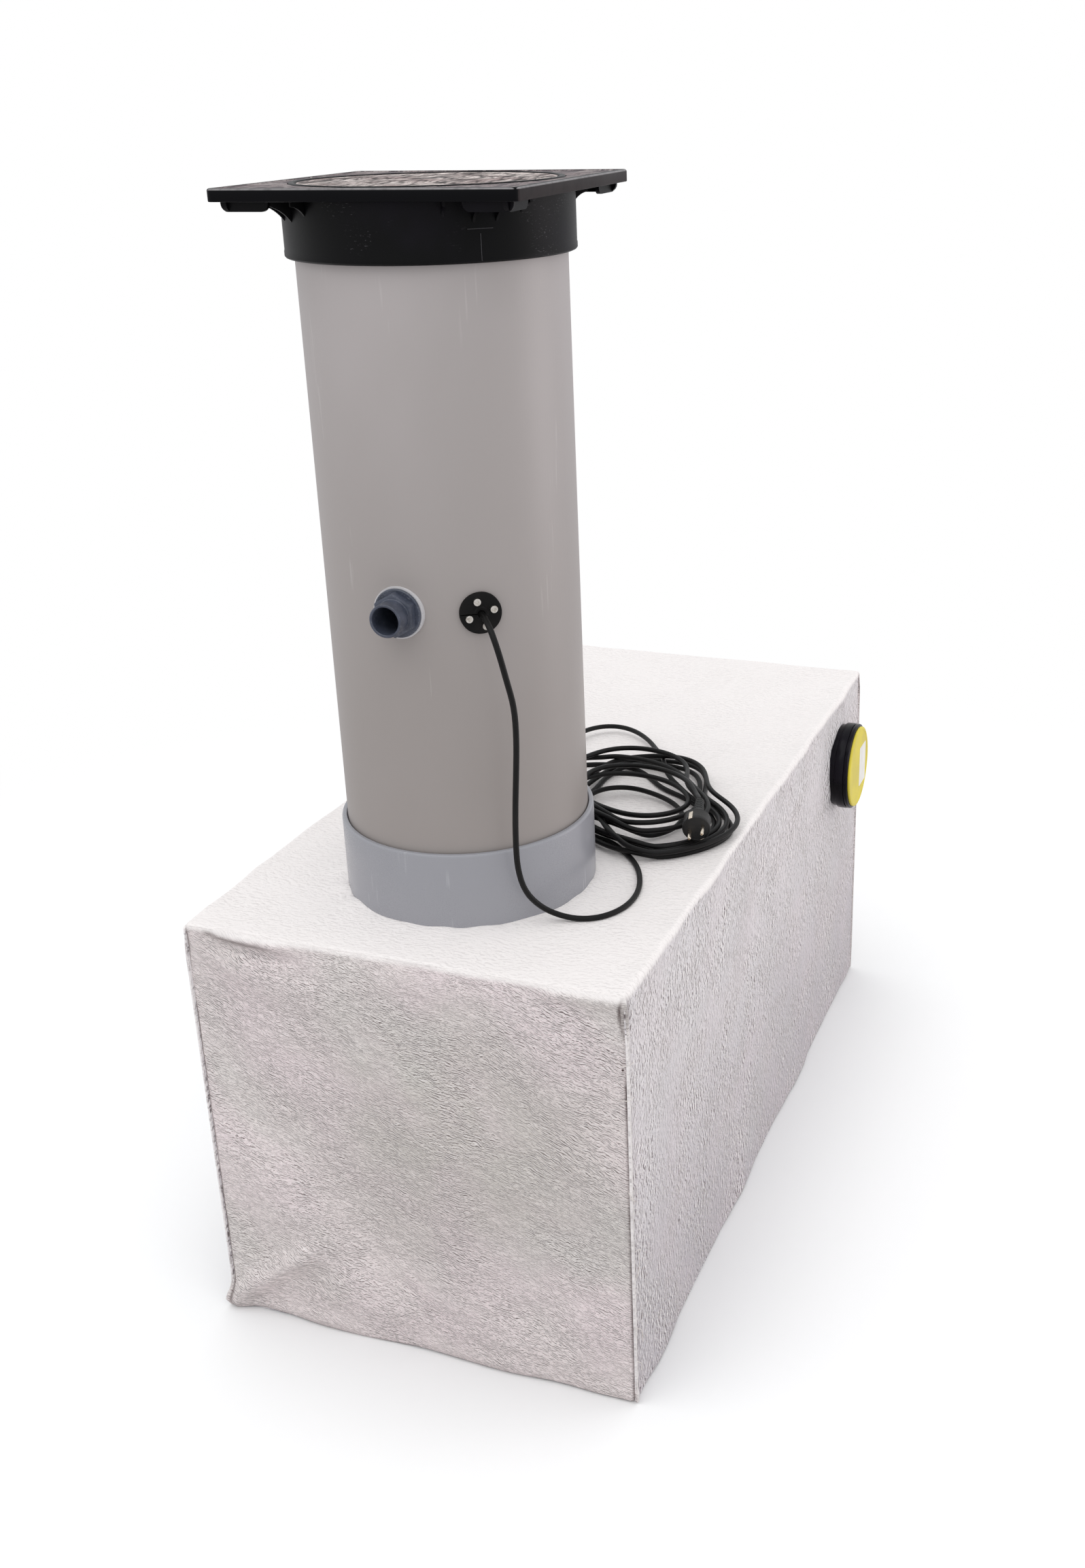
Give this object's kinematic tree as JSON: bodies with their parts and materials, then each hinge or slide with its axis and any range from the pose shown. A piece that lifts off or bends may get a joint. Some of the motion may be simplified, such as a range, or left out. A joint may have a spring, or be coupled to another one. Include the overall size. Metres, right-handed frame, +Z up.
{
  "type": "drainage pump sump",
  "caption": "Fabric-wrapped storage crate with a capped round riser that carries a side outlet and a sealed power lead, and a plugged inlet stub on one wall.",
  "frame": {"origin": "centre of the crate's base, on the ground", "axes": "+Z up, +X towards the wall with the inlet, the riser near the -Y end"},
  "size_m": [0.64, 1.2, 1.476],
  "materials": {
    "geotextile": "matt non-woven felt with a fine crinkle",
    "crate_plastic": "plain black crate plastic",
    "riser_grey": "satin warm grey pipe plastic",
    "socket_grey": "satin blue-grey pipe plastic",
    "cover_black": "moulded black plastic, scuffed along its edges",
    "lid_black": "textured dark plastic worn to brown-grey",
    "fitting_grey": "dark blue-grey fitting plastic",
    "gasket_pale": "pale grey flat gasket",
    "seal_black": "black pressed rubber",
    "screw_steel": "stainless steel",
    "inlet_black": "glossy black plastic",
    "cap_yellow": "yellow moulded plastic",
    "cord_black": "black rubber sheath",
    "plug_black": "black moulded plug",
    "pin_metal": "nickel-plated pins"
  },
  "bodies": {
    "root": {"fabric_base": "geotextile", "fabric_top": "geotextile", "fabric_front": "geotextile", "fabric_back": "geotextile", "fabric_left": "geotextile", "fabric_right": "geotextile", "crate_base": "crate_plastic", "crate_top": "crate_plastic", "crate_front": "crate_plastic", "crate_back": "crate_plastic", "crate_left": "crate_plastic", "crate_right": "crate_plastic", "riser_pipe": "riser_grey", "riser_socket": "socket_grey", "cover_frame": "cover_black", "cover_skirt": "cover_black", "cover_edge_ribs": "cover_black", "cover_gussets": "cover_black", "cover_lid": "lid_black", "outlet_fitting": "fitting_grey", "outlet_locknut": "fitting_grey", "outlet_gasket": "gasket_pale", "cable_seal_plate": "seal_black", "cable_seal_grommet": "seal_black", "cable_seal_back_plate": "seal_black", "cable_seal_screws": "screw_steel", "inlet_stub": "inlet_black", "inlet_collar": "inlet_black", "inlet_cap": "cap_yellow", "power_cord": "cord_black", "cord_coil": "cord_black", "plug_body": "plug_black", "plug_pins": "pin_metal"}
  },
  "joints": []
}
